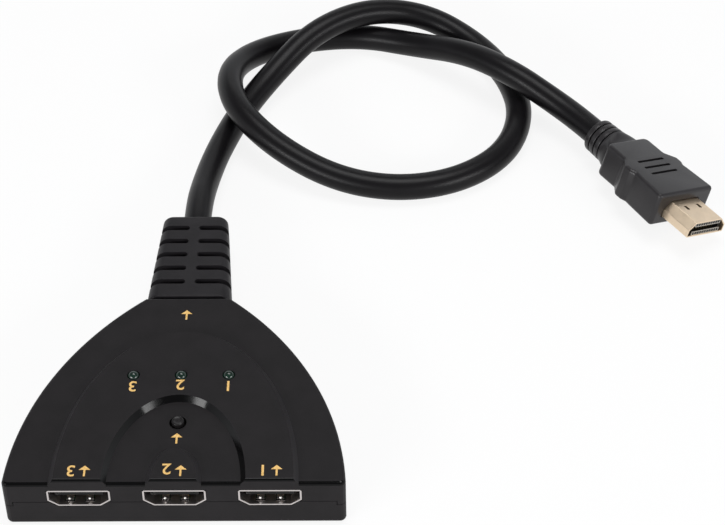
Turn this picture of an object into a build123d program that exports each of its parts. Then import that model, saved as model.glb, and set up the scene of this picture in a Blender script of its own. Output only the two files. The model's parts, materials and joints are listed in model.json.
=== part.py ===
"""A three-input video switch box with a captive cable and plug.

The box lies on its flat base. +Z is up, the three sockets face -Y and the
cable leaves at +Y. The origin is at the bottom centre of the box itself.
All lengths are in millimetres.
"""
from build123d import *
from math import acos, atan2, cos, degrees, hypot, pi, radians, sin, sqrt, tan
import os

os.makedirs("parts", exist_ok=True)

# Driving dimensions of the case
case_width = 81.5          # across the front face
case_depth = 62.5          # front face to the flat back
case_height = 14.4         # lower level of the top
back_width = 21.5          # flat back that the boot leaves from
side_radius = 86.0         # plan radius of both long sides
wall = 1.8
floor = 1.6
roof = 1.8
corner_round = 1.6         # upright front corners
top_round = 1.0
base_round = 1.3
cut_over = 1.0             # overrun of every cut
merge_size = 0.01          # edges this close count as one height
seam = 0.16                # shadow gap between the two shells
side_split_drop = 2.6      # the seam along the sides lies this far below the sockets' middle
front_split_drop = 1.3     # and this far between the sockets
split_inset = 2.2          # the seam steps down this far from each corner
lip_height = 1.2
lip_thick = 0.8
lip_clear = 0.12

# Raised bands on the top, half ellipses centred on the front edge
band_rise = 1.4
band_bevel = 1.2
outer_band = (29.0, 49.4)
inner_band = (16.5, 26.8)
tongue_band = (6.0, 10.8)
band_root = 2.0            # how far a band reaches down into the roof

# Sockets
socket_side_gap = 18.05    # from the case's side to the middle of the outer sockets
socket_drop = 5.1          # middle of a socket's mouth below the top
socket_width = 15.0        # outside of the metal shell
socket_height = 5.4
socket_side = 3.5          # upright part of the shell's side
socket_foot = 10.0         # width of the narrow lower side
socket_metal = 0.4
socket_depth = 11.5
socket_recess = 0.1        # mouth behind the front face
socket_corner = 0.4
socket_gap = 0.12          # shell to the opening in the case
block_depth = 3.0          # plastic block that closes the shell's back
block_clear = 0.05
tongue_width = 11.4
tongue_thick = 1.9
tongue_lift = 0.25
tongue_recess = 1.4
tongue_round = 0.35
contact_count = 19
contact_pitch = 0.5        # between a contact and its neighbour on the other face
contact_width = 0.45
contact_thick = 0.18
contact_setback = 0.7
tail_gap = 0.5             # solder tails behind the block
tail_step = 0.5            # the upper contacts' tails stand further back
spring_width = 1.8
spring_offset = 2.35
spring_length = 4.5
spring_start = 1.4
spring_reach = 0.7
spring_slit = 0.25
spring_bend_share = 0.35   # where along a spring it reaches furthest in
leg_width = 1.0
leg_length = 3.4
leg_front = 3.0
leg_back = 8.6
leg_clear = 0.1

# Main board
board_thick = 1.6
board_edge_gap = 0.6       # board to the case wall
board_front = 2.4          # behind the front face
board_back = 10.6          # ahead of the flat back
boss_radius = 2.3
pin_radius = 1.0
pin_clear = 0.1
pin_height = 3.2           # above the board's lower side
post_sides = 8             # bosses, pins and the posts over them have flat sides
boss_front = 13.0          # behind the front face
boss_back = 14.0           # ahead of the flat back
boss_front_inset = 5.0     # from the case's side to the middle of a boss
boss_back_inset = 8.3
post_clear = 0.05

# Status lamps
lamp_pitch = 11.73
lamp_back = 34.0
lamp_radius = 1.5
lamp_sides = 12
dome_steps = (0.9, 0.45)   # two bevels that make a lamp's dome
lamp_rise = 0.8            # where the dome starts, over the lower level
lamp_flange_radius = 1.9
lamp_flange = 1.0
lamp_drop = 3.1            # flange's base, under the lower level
lamp_clear = 0.1
lead_side = 0.5
lead_pitch = 2.54
lead_past = 1.0            # below the board
lead_clear = 0.15

# Select button and the switch under it
button_back = 19.5
button_radius = 1.95
button_clear = 0.15
button_proud = 0.9
button_edge = 0.3
button_flange_radius = 2.9
button_flange = 0.8
button_sides = 16          # of the flange, the plunger and its well
button_flange_gap = 0.25
button_travel = 0.25
switch_side = 6.0
switch_height = 3.5
switch_cover = 0.3
plunger_radius = 1.7
plunger_clear = 0.08
plunger_well = 1.2
plunger_spare = 0.15       # left under the plunger when the button is down
switch_leg_width = 0.8
switch_leg_spread = 4.5
switch_leg_foot = 1.0

# Chips and small parts on the board
chip_side = 10.0
chip_thick = 1.2
chip_standoff = 0.15
chip_across_share = 0.40   # of the board's half width there
chip_back = 24.2
chip_pins = 10             # along each side
chip_pin_pitch = 0.8
chip_pin_width = 0.3
chip_pin_reach = 1.0
chip_pin_thick = 0.2
guard_length = 3.0
guard_width = 2.4
guard_height = 0.9
guard_back = 16.6
small_part = (2.0, 1.25, 0.8)
small_place_shares = (
    (-0.80, 0.36), (-0.66, 0.36), (-0.52, 0.36), (-0.38, 0.42), (-0.24, 0.52),
    (-0.62, 0.50), (-0.48, 0.60), (-0.14, 0.52), (0.14, 0.60), (0.12, 0.82),
    (-0.12, 0.82), (0.75, 0.40), (0.75, 0.52), (-0.30, 0.84),
)

# Moulded boot where the cable leaves the case
boot_gap = 0.4             # dark line between the case and the boot
boot_length = 32.6
boot_base_width = 22.0
boot_base_lower = 1.2      # the boot is this much less high than the case
boot_end_width = 17.2
boot_end_lower = 3.4
boot_sink = 0.25           # middle of the boot under the case's mid height
boot_base_corner = 1.9
boot_end_corner = 1.7
boot_edge = 0.6
slot_count = 5
slot_first = 6.6
slot_pitch = 5.25
slot_width = 1.7
slot_depth = 2.3
spine_width = 2.5
neck_width = 16.0
neck_lower = 5.0           # less high than the case
neck_clear = 0.1
collar_width = 18.2
collar_lower = 4.8         # less high than the case
collar_thick = 2.0
collar_gap = 0.15
wire_count = 5
wire_radius = 0.55
wire_pitch = 2.2
wire_rise = 1.4
wire_sides = 6
pad_inset = 0.9            # from the board's back edge to the wires' ends

# Cable
cable_diameter = 7.3
cable_radius = cable_diameter / 2
cable_sides = 6            # the cable is a faceted tube
arc_share = 0.45           # of the shorter run beside a corner

# The cable's route, chosen by hand: out of the boot, under itself, round the
# loop, over and under itself again, and across to the plug
route = [
    (0.0, 64.25, 6.95), (0.0, 74.0, 6.95), (1.2, 87.0, 4.7), (4.0, 101.0, 3.7),
    (9.4, 117.0, 3.7), (18.5, 131.8, 6.3), (30.5, 144.5, 12.0), (46.5, 153.8, 12.5),
    (63.5, 156.0, 8.5), (78.0, 147.5, 4.3), (87.0, 132.5, 3.7), (90.0, 115.5, 3.7),
    (84.5, 98.5, 3.7), (71.0, 87.5, 3.7), (54.0, 84.0, 3.7), (37.0, 87.0, 5.0),
    (21.0, 95.5, 9.0), (9.0, 108.5, 12.2), (5.5, 125.0, 11.3), (11.5, 140.5, 6.5),
    (26.0, 150.5, 3.7), (44.0, 152.5, 3.7), (60.0, 146.0, 5.2), (74.5, 134.5, 11.6),
    (86.9, 123.6, 12.8), (97.7, 116.2, 9.2), (105.4, 108.7, 7.85), (110.3, 101.6, 7.85),
]

# Plug: body, neck rings and metal end, in the plug's own frame
plug_roll = 19.0           # degrees that the plug lies turned about the cable
plug_width = 20.6
plug_height = 9.8
plug_length = 26.0
plug_back_width = 15.4
plug_back_length = 7.8     # narrow part behind the grip
plug_bump_width = 20.2
plug_bump_from = 10.8
plug_bump_to = 13.0
plug_notch_width = 18.8
plug_notch_at = 14.5
plug_front_width = 19.2
plug_front_at = 16.0
plug_front_corner = 0.7
plug_back_corner = 1.2
plug_rim = 0.5
grip_count = 3
grip_first = 10.4
grip_pitch = 2.9
grip_length = 9.8
grip_width = 0.9
grip_depth = 0.6
ring_count = 3
ring_sides = 18
ring_radius = 5.3
ring_groove_radius = 4.3
ring_pitch = 2.05
ring_groove = 0.75
plug_neck = 10.0
neck_base_width = 12.6
neck_base_height = 9.0
neck_base_corner = 1.6
neck_slope = 2.4
neck_cone = 3.8
tip_width = 13.9
tip_height = 4.45
tip_foot = 9.7             # narrow side of the metal end
tip_side = 2.3
tip_metal = 0.35
tip_reach = 10.2
tip_seat = 0.4             # sunk collar where the metal enters the body
tip_seat_gap = 0.25
tip_round = 0.4
tip_core_recess = 1.0
tip_hole_length = 1.9
tip_hole_width = 0.9
tip_hole_offset = 2.3
tip_hole_at = 3.4
tip_hole_corner = 0.25
tip_slot_height = 2.2
tip_slot_depth = 6.0
tip_core_clear = 0.05

# Places worked out from the sizes above
front_y = -case_depth / 2
back_y = case_depth / 2
top_z = case_height + band_rise
roof_z = case_height - roof
socket_pitch = case_width / 2 - socket_side_gap
socket_z = case_height - socket_drop
side_split = socket_z - side_split_drop
front_split = socket_z - front_split_drop
lamp_base = case_height - lamp_drop
lamp_shoulder = case_height + lamp_rise
boot_base = (boot_base_width, case_height - boot_base_lower)
boot_end = (boot_end_width, case_height - boot_end_lower)
boot_z = case_height / 2 - boot_sink
neck_size = (neck_width, case_height - neck_lower)
collar_size = (collar_width, case_height - collar_lower)
board_length = case_depth - board_front - board_back
socket_xs = [-socket_pitch, 0.0, socket_pitch]
socket_base_z = socket_z - socket_height / 2
board_top = socket_base_z
board_base = board_top - board_thick
cut_height = top_z + 2 * cut_over


def depth_y(behind_front):
    """Y of a place given as its distance behind the front face."""
    return front_y + behind_front


def side_half_width(y, inset=0.0):
    """Half the case's width at a place along its depth, less an inset."""
    half_front, half_back = case_width / 2, back_width / 2
    chord = hypot(half_front - half_back, case_depth)
    middle_x, middle_y = (half_front + half_back) / 2, 0.0
    rise = sqrt(side_radius ** 2 - (chord / 2) ** 2)
    centre_x = middle_x - rise * case_depth / chord
    centre_y = middle_y - rise * (half_front - half_back) / chord
    return centre_x + sqrt((side_radius - inset) ** 2 - (y - centre_y) ** 2)


def plan(inset=0.0, front=0.0, back=0.0):
    """The case's outline, set in by an inset at the sides and by others at front and back."""
    y0, y1 = front_y + front, back_y - back
    x0, x1 = side_half_width(y0, inset), side_half_width(y1, inset)
    right = RadiusArc((x0, y0), (x1, y1), -(side_radius - inset))
    left = RadiusArc((-x1, y1), (-x0, y0), -(side_radius - inset))
    return make_face(Wire([Line((-x0, y0), (x0, y0)), right, Line((x1, y1), (-x1, y1)), left]))


def prism(face, z0, z1):
    """A flat outline raised from one height to another."""
    return extrude(Pos(0, 0, z0) * face, amount=z1 - z0, dir=(0, 0, 1))


def block(x, y, z, length, width, height):
    """A box by the middle of its base."""
    corner = (Align.CENTER, Align.CENTER, Align.MIN)
    return Pos(x, y, z) * Box(length, width, height, align=corner)


def rod(x, y, z, radius, height):
    """An upright cylinder by the middle of its base."""
    corner = (Align.CENTER, Align.CENTER, Align.MIN)
    return Pos(x, y, z) * Cylinder(radius, height, align=corner)


def post(x, y, z, radius, height, sides=post_sides):
    """An upright prism of equal sides by the middle of its base."""
    return extrude(Pos(x, y, z) * RegularPolygon(radius, sides), amount=height, dir=(0, 0, 1))


def socket_profile(width, height, side, foot, grow=0.0):
    """The mouth's outline in X and Z: wide above, narrow below, grown evenly outward."""
    half, low = width / 2, foot / 2
    top, base = height / 2, -height / 2
    shoulder = top - side
    points = [(-half, top), (-half, shoulder), (-low, base), (low, base), (half, shoulder), (half, top)]
    face = make_face(Polyline(*points, close=True))
    if grow:
        face = offset(face, amount=grow, kind=Kind.INTERSECTION)
    return face


def along_y(face, x, y0, y1, z):
    """An outline in X and Z carried from one Y to another."""
    placed = Pos(x, y0, z) * (Rot(X=90) * face)
    return extrude(placed, amount=y1 - y0, dir=(0, 1, 0))


def facet_round(body, radius, pick):
    """Rounds edges with three flat facets that touch the true round: pick lists the edges by size."""
    middle, rest = radius * (2 - sqrt(2)), radius * (tan(pi / 8) - tan(pi / 16))
    body = chamfer(pick(body, 0.0), middle)
    return chamfer(pick(body, middle), rest)


def upright_edges(body, cut):
    """The upright edges at the front corners, before or after a first cut."""
    near = front_y + corner_round
    return [e for e in body.edges().filter_by(Axis.Z) if e.center().Y < near]


def rim_edges(z):
    """A picker of the level edges around a rim: those at its height and those a cut away from it."""
    def pick(body, cut):
        heights = (z, z + cut if z < case_height / 2 else z - cut)
        return [e for e in body.edges() if any(abs(e.bounding_box().min.Z - h) < merge_size
                and abs(e.bounding_box().max.Z - h) < merge_size for h in heights)]
    return pick


def ellipse_step(size, z0, z1, shrink):
    """An elliptical step that narrows by a bevel as it rises, or widens if shrink is negative."""
    low = Pos(0, front_y, z0) * Ellipse(size[0] + shrink / 2, size[1] + shrink / 2)
    high = Pos(0, front_y, z1) * Ellipse(size[0] - shrink / 2, size[1] - shrink / 2)
    return loft([low.face(), high.face()], ruled=True)


def band(size, hole=None):
    """One raised band: a bevelled step with an upright root, cut off at the front face."""
    root_z = case_height - band_root
    foot = Pos(0, front_y, root_z) * Ellipse(size[0] + band_bevel / 2, size[1] + band_bevel / 2)
    solid = extrude(foot, amount=band_root, dir=(0, 0, 1))
    solid += ellipse_step(size, case_height, top_z, band_bevel)
    if hole:
        well = Pos(0, front_y, root_z) * Ellipse(hole[0] - band_bevel / 2, hole[1] - band_bevel / 2)
        solid -= extrude(well, amount=band_root, dir=(0, 0, 1))
        solid -= ellipse_step(hole, case_height, top_z, -band_bevel)
    keep = block(0, depth_y(case_depth / 2), root_z, case_width, case_depth, band_root + band_rise)
    solid = keep & solid
    edges = [e for e in solid.edges().filter_by(Axis.X)
             if abs(e.center().Y - front_y) < seam and e.center().Z > case_height]
    return fillet(edges, min(top_round, band_rise / 2))


def outer_case():
    """The whole outside of the case as one solid, before it is split into two shells."""
    body = facet_round(prism(plan(), 0.0, case_height), corner_round, upright_edges)
    body = facet_round(body, top_round, rim_edges(case_height))
    body = facet_round(body, base_round, rim_edges(0.0))
    body += band(outer_band, inner_band)
    body += band(tongue_band)
    return body


def split_tool(gap, z_side, z_front):
    """Everything below the seam: low along the sides, higher across the front face."""
    low = block(0, 0, -cut_over, 2 * case_width, 2 * case_depth, z_side + cut_over - gap)
    half = side_half_width(front_y) - split_inset - gap
    front = block(0, depth_y((wall - cut_over - gap) / 2), 0, 2 * half, wall + cut_over - gap,
                  z_front - gap)
    return low + front


def socket_cut(x, grow):
    """The opening in the front wall for one socket."""
    face = socket_profile(socket_width, socket_height, socket_side, socket_foot, grow)
    return along_y(face, x, front_y - cut_over, front_y + wall + cut_over, socket_z)


def boss_places():
    """Where the board is held."""
    for y, inset in ((front_y + boss_front, boss_front_inset), (back_y - boss_back, boss_back_inset)):
        for sign in (-1, 1):
            yield sign * (side_half_width(y) - inset), y


def back_opening():
    """The window in the back wall for the boot's neck."""
    width, height = neck_size
    deep = wall + 2 * cut_over
    return block(0, back_y - wall / 2, boot_z - height / 2 - neck_clear, width + 2 * neck_clear, deep,
                 height + 2 * neck_clear)


def make_shells():
    """Bottom and top shell, cut from the same outside."""
    body = outer_case()
    inside = plan(wall, wall, wall)
    for x in socket_xs:
        body -= socket_cut(x, socket_gap)
    body -= back_opening()
    below = split_tool(seam / 2, side_split, front_split)
    below_all = split_tool(-seam / 2, side_split, front_split)

    bottom = body & below
    bottom -= prism(inside, floor, cut_height)
    lip_out = plan(wall - lip_thick, wall, wall)
    lip = prism(lip_out, side_split - lip_height, side_split + lip_height)
    lip -= prism(inside, 0, cut_height)
    for x in socket_xs:
        lip -= socket_cut(x, socket_gap)
    lip -= back_opening()
    bottom += lip
    for x, y in boss_places():
        bottom += post(x, y, floor, boss_radius, board_base - floor)
        bottom += post(x, y, board_base, pin_radius, pin_height)

    top = body - below_all
    top -= prism(inside, 0, roof_z)
    lip_room = plan(wall - lip_thick - lip_clear, wall, wall)
    top -= prism(lip_room, 0, side_split + lip_height + lip_clear)
    pin_room = board_base + pin_height + pin_clear - board_top
    for x, y in boss_places():
        stop = post(x, y, board_top + post_clear, boss_radius, roof_z - board_top - post_clear)
        top += stop - post(x, y, board_top, pin_radius + pin_clear, pin_room)
    for x in lamp_xs():
        top -= post(x, depth_y(lamp_back), roof_z - cut_over, lamp_radius + lamp_clear, cut_height,
                    lamp_sides)
    top -= rod(0, depth_y(button_back), roof_z - cut_over, button_radius + button_clear, cut_height)
    return bottom, top


def lamp_xs():
    """The three lamps' places across the top."""
    return [-lamp_pitch, 0.0, lamp_pitch]


def make_board():
    """The board, with pin holes, slots for the sockets' legs and holes for the lamps' leads."""
    margin = wall + board_edge_gap
    board = prism(plan(margin, board_front, board_back), board_base, board_top)
    for x, y in boss_places():
        board -= post(x, y, board_base - cut_over, pin_radius + pin_clear, board_thick + 2 * cut_over)
    for x in socket_xs:
        for side_x, leg_y in leg_places(x):
            board -= block(side_x, leg_y, board_base - cut_over, socket_metal + 2 * leg_clear,
                           leg_width + 2 * leg_clear, board_thick + 2 * cut_over)
    for x in lamp_xs():
        for side in (-1, 1):
            board -= block(x + side * lead_pitch / 2, depth_y(lamp_back), board_base - cut_over,
                           lead_side + 2 * lead_clear, lead_side + 2 * lead_clear,
                           board_thick + 2 * cut_over)
    return board


def leg_places(x):
    """Where one socket's four legs go through the board."""
    for side in (-1, 1):
        for back in (leg_front, leg_back):
            yield x + side * (socket_width - socket_metal) / 2, depth_y(socket_recess + back)


def make_socket_shell(x):
    """Folded metal shell of one socket, with its four springs and four legs."""
    y0 = front_y + socket_recess
    y1 = y0 + socket_depth
    outside = socket_profile(socket_width, socket_height, socket_side, socket_foot)
    inside = socket_profile(socket_width, socket_height, socket_side, socket_foot, -socket_metal)
    shell = along_y(outside, x, y0, y1, socket_z)
    corners = [e for e in shell.edges().filter_by(Axis.Y)
               if e.center().Z > socket_z + socket_height / 2 - socket_metal]
    shell = chamfer(corners, socket_corner)
    shell -= along_y(inside, x, y0 - cut_over, y1 + cut_over, socket_z)
    for side_x, leg_y in leg_places(x):
        shoulder_z = socket_z + socket_height / 2 - socket_side
        leg_z = board_top + socket_metal - leg_length
        shell += block(side_x, leg_y, leg_z, socket_metal, leg_width, shoulder_z + socket_metal - leg_z)
    return add_springs(shell, x)


def add_springs(shell, x):
    """Cuts four windows in the shell's wide faces and leaves a bent spring in each."""
    y0 = front_y + socket_recess + spring_start
    y1 = y0 + spring_length
    bend_y = y0 + spring_bend_share * spring_length
    outer = socket_height / 2
    inner = outer - socket_metal
    for spring_x in (x - spring_offset, x + spring_offset):
        for way in (-1, 1):
            window_z = socket_z + way * (outer + inner) / 2
            window = Pos(spring_x, (y0 - spring_slit + y1) / 2, window_z) * Box(
                spring_width + 2 * spring_slit, spring_length + spring_slit, 2 * socket_metal)
            shell -= window
            points = [(y1, outer), (bend_y, outer - spring_reach), (y0, outer - spring_reach / 2),
                      (y0, inner - spring_reach / 2), (bend_y, inner - spring_reach), (y1, inner)]
            face = make_face(Polyline(*[(spring_x, y, socket_z + way * z) for y, z in points], close=True))
            shell += extrude(face, amount=spring_width / 2, both=True)
    return shell


def make_socket_block(x):
    """Plastic block at the back of one socket, with the tongue that carries the contacts."""
    y1 = front_y + socket_recess + socket_depth
    y0 = y1 - block_depth
    face = socket_profile(socket_width, socket_height, socket_side, socket_foot, -socket_metal - block_clear)
    solid = along_y(face, x, y0, y1, socket_z)
    reach = socket_depth - block_depth - tongue_recess
    tongue = Pos(x, y0 - reach / 2, socket_z + tongue_lift) * Box(tongue_width, reach, tongue_thick)
    tongue = chamfer(tongue.faces().sort_by(Axis.Y)[0].edges().filter_by(Axis.X), tongue_round)
    return solid + tongue


def make_socket_contacts(x):
    """Nineteen contacts on the tongue's two faces and their tails behind the block."""
    y1 = front_y + socket_recess + socket_depth
    y0 = y1 - block_depth
    reach = socket_depth - block_depth - tongue_recess - contact_setback - tongue_round
    pieces = []
    for i in range(contact_count):
        cx = x + (i - (contact_count - 1) / 2) * contact_pitch
        way = 1 if i % 2 == 0 else -1
        cz = socket_z + tongue_lift + way * (tongue_thick + contact_thick) / 2
        pieces.append(Pos(cx, y0 - reach / 2, cz) * Box(contact_width, reach, contact_thick))
        tail_z = socket_z + tongue_lift + way * tongue_thick / 4
        out = tail_gap if way < 0 else tail_gap + tail_step
        pieces.append(block(cx, y1 + out / 2, board_top, contact_width, out, tail_z - board_top))
    return pieces


def make_lamp(x):
    """One lamp's lens: flange, barrel and dome."""
    y = depth_y(lamp_back)
    lens = post(x, y, lamp_base, lamp_radius, lamp_shoulder + lamp_radius - lamp_base, lamp_sides)
    for step in dome_steps:
        lens = chamfer(lens.faces().sort_by(Axis.Z)[-1].edges(), step)
    return lens + post(x, y, lamp_base, lamp_flange_radius, lamp_flange, lamp_sides)


def make_lamp_leads():
    """Two leads under each lamp, through the board."""
    base = board_base - lead_past
    return [block(x + side * lead_pitch / 2, depth_y(lamp_back), base, lead_side, lead_side, lamp_base - base)
            for x in lamp_xs() for side in (-1, 1)]


def make_button():
    """Round cap with a flange below the roof that keeps it in."""
    y = depth_y(button_back)
    flange_top = roof_z - button_flange_gap
    flange_base = flange_top - button_flange
    cap_top = case_height + button_proud
    cap = rod(0, y, flange_base, button_radius, cap_top - flange_base)
    cap = chamfer(cap.faces().sort_by(Axis.Z)[-1].edges(), button_edge)
    return cap + post(0, y, flange_base, button_flange_radius, button_flange, button_sides)


def make_switch():
    """Body, metal cover and plunger of the switch under the button."""
    y = depth_y(button_back)
    cover_base = board_top + switch_height - switch_cover
    body_top = board_top + switch_height
    well_base = body_top - plunger_well
    body = block(0, y, board_top, switch_side, switch_side, switch_height - switch_cover)
    well = post(0, y, well_base, plunger_radius + plunger_clear, cut_height, button_sides)
    body -= well
    cover = block(0, y, cover_base, switch_side, switch_side, switch_cover)
    cover -= well
    for side in (-1, 1):
        for along in (-1, 1):
            leg_y = y + along * switch_leg_spread / 2
            leg_x = side * (switch_side + switch_cover) / 2
            leg = block(leg_x, leg_y, board_top, switch_cover, switch_leg_width, switch_height)
            foot_x = side * (switch_side / 2 + switch_leg_foot / 2)
            foot = block(foot_x, leg_y, board_top, switch_leg_foot, switch_leg_width, switch_cover)
            cover += leg + foot
    plunger_base = well_base + button_travel + plunger_spare
    plunger_top = roof_z - button_flange_gap - button_flange
    plunger = post(0, y, plunger_base, plunger_radius, plunger_top - plunger_base, button_sides)
    return body, cover, plunger


def board_place(share_x, share_y):
    """A place on the board: a share of its half width there, and a share of its length."""
    y = depth_y(board_front + share_y * board_length)
    return share_x * side_half_width(y, wall + board_edge_gap), y


def make_chip():
    """The switching chip's body and its pins."""
    y = depth_y(chip_back)
    x = chip_across_share * side_half_width(y, wall + board_edge_gap)
    base = board_top + chip_standoff
    body = block(x, y, base, chip_side, chip_side, chip_thick)
    body = chamfer(body.faces().sort_by(Axis.Z)[-1].edges(), chip_standoff)
    pins = []
    for i in range(chip_pins):
        step = (i - (chip_pins - 1) / 2) * chip_pin_pitch
        reach = chip_side / 2 + chip_pin_reach / 2
        for turn in range(4):
            angle = turn * pi / 2
            px = x + reach * cos(angle) - step * sin(angle)
            py = y + reach * sin(angle) + step * cos(angle)
            long_x = chip_pin_reach if turn % 2 == 0 else chip_pin_width
            long_y = chip_pin_width if turn % 2 == 0 else chip_pin_reach
            pins.append(block(px, py, board_top, long_x, long_y, chip_pin_thick + chip_standoff))
    return body, pins


def make_board_parts():
    """Surge guards behind the sockets and the small parts around the chip."""
    parts = [block(x, depth_y(guard_back), board_top, guard_length, guard_width, guard_height)
             for x in (-socket_pitch, -button_flange_radius - guard_length, socket_pitch)]
    for share_x, share_y in small_place_shares:
        x, y = board_place(share_x, share_y)
        parts.append(block(x, y, board_top, *small_part))
    return parts


def eight_sided(width, height, corner):
    """A rectangle with cut corners, standing in X and Z."""
    x, z = width / 2, height / 2
    right = [(x - corner, -z), (x, corner - z), (x, z - corner), (x - corner, z)]
    left = [(-px, pz) for px, pz in reversed(right)]
    return Rot(X=90) * make_face(Polyline(*right, *left, close=True))


def make_boot():
    """Moulded boot: tapered outside, side slots that leave a spine, neck and collar in the case."""
    y0 = back_y + boot_gap
    y1 = y0 + boot_length
    outside = loft([Pos(0, y0, boot_z) * eight_sided(*boot_base, boot_base_corner),
                    Pos(0, y1, boot_z) * eight_sided(*boot_end, boot_end_corner)], ruled=True)
    outside = chamfer(outside.faces().sort_by(Axis.Y)[-1].edges(), boot_edge)
    base_core, end_core = [Rot(X=90) * Rectangle(width - 2 * slot_depth, height - 2 * slot_depth)
                           for width, height in (boot_base, boot_end)]
    core = loft([Pos(0, y0 - cut_over, boot_z) * base_core, Pos(0, y1 + cut_over, boot_z) * end_core],
                ruled=True)
    reach, height = boot_base
    for i in range(slot_count):
        y = y0 + slot_first + i * slot_pitch
        for side in (-1, 1):
            x = side * (spine_width + reach) / 2
            outside -= block(x, y, boot_z - height, reach, slot_width, 2 * height) - core
    neck_y0 = back_y - wall - collar_gap
    neck = Pos(0, (neck_y0 + y0) / 2, boot_z) * Box(neck_size[0], y0 - neck_y0, neck_size[1])
    collar_y = neck_y0 - collar_thick / 2
    collar = Pos(0, collar_y, boot_z) * Box(collar_size[0], collar_thick, collar_size[1])
    return outside + neck + collar


def make_wires():
    """Five short wires from the boot's collar down to the board."""
    y0 = back_y - wall - collar_gap - collar_thick
    y1 = back_y - board_back - pad_inset
    z1 = board_top + wire_radius
    wires = []
    for i in range(wire_count):
        x = (i - (wire_count - 1) / 2) * wire_pitch
        z0 = z1 + wire_rise
        third = (y0 - y1) / 3
        path = Polyline((x, y0, z0), (x, y0 - third, z0), (x, y1 + third, z1), (x, y1, z1))
        section = Plane(origin=(x, y0, z0), z_dir=(0, -1, 0)) * RegularPolygon(wire_radius, wire_sides)
        wires.append(sweep(section, path=path, transition=Transition.RIGHT))
    return wires


def cable_path(points):
    """Straight runs joined by tangent arcs, each as large as its two runs allow."""
    radii = []
    for a, b, c in zip(points, points[1:], points[2:]):
        before, after = Vector(*b) - Vector(*a), Vector(*c) - Vector(*b)
        turn = radians(before.get_angle(after))
        radii.append(arc_share * min(before.length, after.length) / tan(turn / 2))
    return FilletPolyline(*points, radius=radii), radii


def make_cable():
    """The cable as one tube along its route, with what it measures printed."""
    path, radii = cable_path(route)
    start = Plane(origin=route[0], z_dir=path % 0)
    section = start * RegularPolygon(cable_radius, cable_sides)
    tube = sweep(section, path=path)
    length = path.length
    samples = [path @ (i / int(length)) for i in range(int(length) + 1)]
    apart = 4 * cable_diameter
    least = min((p - q).length for i, p in enumerate(samples) for q in samples[i + int(apart):])
    print("cable length %.1f, least radius %.1f" % (length, min(radii)))
    print("cable radii", " ".join("%.0f" % r for r in radii))
    print("least gap of the cable to itself %.2f" % (least - cable_diameter))
    print("cable volume over section times length %.4f" % (tube.volume / (section.area * length)))
    print("cable lowest point %.2f" % (min(p.Z for p in samples) - cable_radius))
    return tube


def plug_place():
    """Where the plug's body starts: past the neck, in line with the cable's last run."""
    end, before = Vector(*route[-1]), Vector(*route[-2])
    way = (end - before).normalized()
    origin = end + way * plug_neck
    yaw = degrees(atan2(way.X, -way.Y))
    pitch = degrees(acos(hypot(way.X, way.Y))) * (1 if way.Z > 0 else -1)
    return Pos(*origin) * Rot(Z=yaw) * Rot(X=-pitch) * Rot(Y=plug_roll)


def plug_outline():
    """The body's plan: narrow back, flared grip with a bump and a notch, wide front."""
    stations = [(plug_back_width, 0.0), (plug_back_width, -plug_back_length),
                (plug_bump_width, -plug_bump_from), (plug_bump_width, -plug_bump_to),
                (plug_notch_width, -plug_notch_at), (plug_front_width, -plug_front_at),
                (plug_width, -plug_length)]
    right = [(width / 2, y) for width, y in stations]
    left = [(-x, y) for x, y in reversed(right)]
    return make_face(Polyline(*right, *left, close=True))


def make_plug_body():
    """Moulded plug body with grip grooves, a ringed neck and a sunk seat for the metal end."""
    body = extrude(Pos(0, 0, -plug_height / 2) * plug_outline(), amount=plug_height, dir=(0, 0, 1))
    back = [e for e in body.edges().filter_by(Axis.Z) if e.center().Y > -cut_over]
    body = chamfer(back, plug_back_corner)
    front = [e for e in body.edges().filter_by(Axis.Z) if e.center().Y < -plug_length + cut_over]
    body = chamfer(front, plug_front_corner)
    rims = body.faces().sort_by(Axis.Z)[0].edges() + body.faces().sort_by(Axis.Z)[-1].edges()
    body = chamfer(rims, plug_rim)
    for i in range(grip_count):
        y = -grip_first - i * grip_pitch
        for side in (-1, 1):
            body -= Pos(0, y, side * plug_height / 2) * Box(grip_length, grip_width, 2 * grip_depth)
    seat_face = socket_profile(tip_width, tip_height, tip_side, tip_foot, tip_seat_gap)
    seat = Pos(0, -plug_length + tip_seat, 0) * (Rot(X=90) * (Rot(Z=180) * seat_face))
    body -= extrude(seat, amount=tip_seat + cut_over, dir=(0, -1, 0))
    return body + make_plug_neck()


def make_plug_neck():
    """Cone off the body's back and rings around the cable."""
    foot = eight_sided(neck_base_width, neck_base_height, neck_base_corner)
    neck = extrude(foot, amount=neck_cone, dir=(0, 1, 0))
    neck = chamfer(neck.faces().sort_by(Axis.Y)[-1].edges(), neck_slope)
    neck += neck_prism(ring_groove_radius, 0.0, plug_neck)
    for i in range(ring_count):
        y = plug_neck - i * ring_pitch
        neck += neck_prism(ring_radius, y - ring_pitch + ring_groove, y)
    return neck


def neck_prism(radius, y0, y1):
    """A many-sided length of the neck between two places along it."""
    face = Pos(0, y0, 0) * (Rot(X=90) * RegularPolygon(radius, ring_sides))
    return extrude(face, amount=y1 - y0, dir=(0, 1, 0))


def tip_face(grow=0.0):
    """The metal end's outline, wide side down."""
    return Rot(Z=180) * socket_profile(tip_width, tip_height, tip_side, tip_foot, grow)


def tip_solid(face, y0, y1):
    """An outline of the metal end carried between two places ahead of the body."""
    return extrude(Pos(0, y0, 0) * (Rot(X=90) * face), amount=y0 - y1, dir=(0, -1, 0))


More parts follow.
